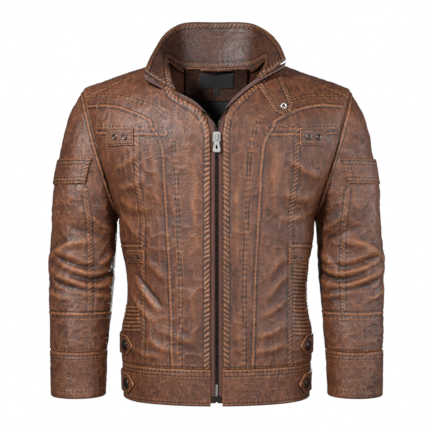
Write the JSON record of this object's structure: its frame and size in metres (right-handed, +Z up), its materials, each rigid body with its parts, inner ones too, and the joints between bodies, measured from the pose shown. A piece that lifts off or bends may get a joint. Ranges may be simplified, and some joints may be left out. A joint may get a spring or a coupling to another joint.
{
  "type": "jacket",
  "caption": "Leather riding jacket with a stand collar, full-length zip, seamed front panels, waist tabs with buttons, and sleeves with cuffs, in its worn shape.",
  "frame": {"origin": "middle of the hanger loop at the back of the neck, where the jacket hangs", "axes": "+Z up, -Y out of the jacket's front, +X to the wearer's left"},
  "size_m": [0.598, 0.265, 0.6803],
  "materials": {
    "leather": "waxed brown leather with lighter worn seam edges",
    "facing": "brown leather facing",
    "lining": "black satin",
    "zip_tape": "rust brown woven tape",
    "zip_teeth": "black",
    "gunmetal": "antique dark metal",
    "bright_metal": "polished nickel"
  },
  "bodies": {
    "torso": {"right_front_panel": "leather", "right_front_strip": "leather", "right_chest_panel": "leather", "right_side_panel": "leather", "right_waistband": "leather", "right_chest_patch": "leather", "right_side_patch": "leather", "right_chest_eyelet_inner": "gunmetal", "right_chest_eyelet_outer": "gunmetal", "right_side_eyelet_inner": "gunmetal", "right_side_eyelet_outer": "gunmetal", "right_zip_tape": "zip_tape", "right_zip_teeth": "zip_teeth", "left_front_panel": "leather", "left_front_strip": "leather", "left_chest_panel": "leather", "left_side_panel": "leather", "left_waistband": "leather", "left_chest_patch": "leather", "left_side_patch": "leather", "left_chest_eyelet_inner": "gunmetal", "left_chest_eyelet_outer": "gunmetal", "left_side_eyelet_inner": "gunmetal", "left_side_eyelet_outer": "gunmetal", "left_zip_tape": "zip_tape", "left_zip_teeth": "zip_teeth", "back_yoke": "leather", "back_panel": "leather", "back_waistband": "leather", "collar_outer": "leather", "collar_inner": "facing", "neck_facing": "facing", "hanger_loop": "facing", "neck_label": "lining", "size_tab": "lining", "body_lining": "lining", "zip_box": "zip_teeth"},
    "zip_slider": {"zip_slider": "bright_metal"},
    "zip_pull": {"zip_pull": "bright_metal"},
    "throat_tab": {"throat_tab": "leather", "throat_snap": "bright_metal"},
    "right_upper_waist_tab": {"right_upper_waist_tab": "leather", "right_upper_waist_button": "gunmetal"},
    "right_lower_waist_tab": {"right_lower_waist_tab": "leather", "right_lower_waist_button": "gunmetal"},
    "left_upper_waist_tab": {"left_upper_waist_tab": "leather", "left_upper_waist_button": "gunmetal"},
    "left_lower_waist_tab": {"left_lower_waist_tab": "leather", "left_lower_waist_button": "gunmetal"},
    "right_upper_arm": {"right_upper_sleeve": "leather", "right_arm_flap": "leather"},
    "right_forearm": {"right_forearm_sleeve": "leather", "right_cuff": "leather"},
    "left_upper_arm": {"left_upper_sleeve": "leather", "left_arm_flap": "leather"},
    "left_forearm": {"left_forearm_sleeve": "leather", "left_cuff": "leather"}
  },
  "joints": [
    {"name": "zip_slide", "type": "slide", "parent": "torso", "child": "zip_slider", "axis": [0, 0, -1], "range_m": [0, 0.41]},
    {"name": "zip_pull_swing", "type": "hinge", "parent": "zip_slider", "child": "zip_pull", "pos_m": [0, -0.1936, -0.1342], "axis": [-1, 0, 0], "range_deg": [0, 110]},
    {"name": "throat_tab_lift", "type": "hinge", "parent": "torso", "child": "throat_tab", "pos_m": [0.0913, -0.14665, -0.0371], "axis": [-0.7904, -0.4803, -0.3802], "range_deg": [0, 60]},
    {"name": "right_upper_tab_swing", "type": "hinge", "parent": "torso", "child": "right_upper_waist_tab", "pos_m": [-0.16728, -0.0106, -0.493], "axis": [0, 0, -1], "range_deg": [0, 14]},
    {"name": "right_lower_tab_swing", "type": "hinge", "parent": "torso", "child": "right_lower_waist_tab", "pos_m": [-0.16473, -0.00856, -0.559], "axis": [0, 0, -1], "range_deg": [0, 14]},
    {"name": "left_upper_tab_swing", "type": "hinge", "parent": "torso", "child": "left_upper_waist_tab", "pos_m": [0.16728, -0.0106, -0.493], "axis": [0, 0, 1], "range_deg": [0, 14]},
    {"name": "left_lower_tab_swing", "type": "hinge", "parent": "torso", "child": "left_lower_waist_tab", "pos_m": [0.16473, -0.00856, -0.559], "axis": [0, 0, 1], "range_deg": [0, 14]},
    {"name": "right_shoulder", "type": "hinge", "parent": "torso", "child": "right_upper_arm", "pos_m": [-0.2374, -0.05125, -0.0398], "axis": [0, 1, 0], "range_deg": [0, 40]},
    {"name": "right_elbow", "type": "hinge", "parent": "right_upper_arm", "child": "right_forearm", "pos_m": [-0.24, -0.12145, -0.354], "axis": [-1, 0, 0], "range_deg": [0, 60]},
    {"name": "left_shoulder", "type": "hinge", "parent": "torso", "child": "left_upper_arm", "pos_m": [0.2374, -0.05125, -0.0398], "axis": [0, -1, 0], "range_deg": [0, 40]},
    {"name": "left_elbow", "type": "hinge", "parent": "left_upper_arm", "child": "left_forearm", "pos_m": [0.24, -0.12145, -0.354], "axis": [-1, 0, 0], "range_deg": [0, 60]}
  ]
}
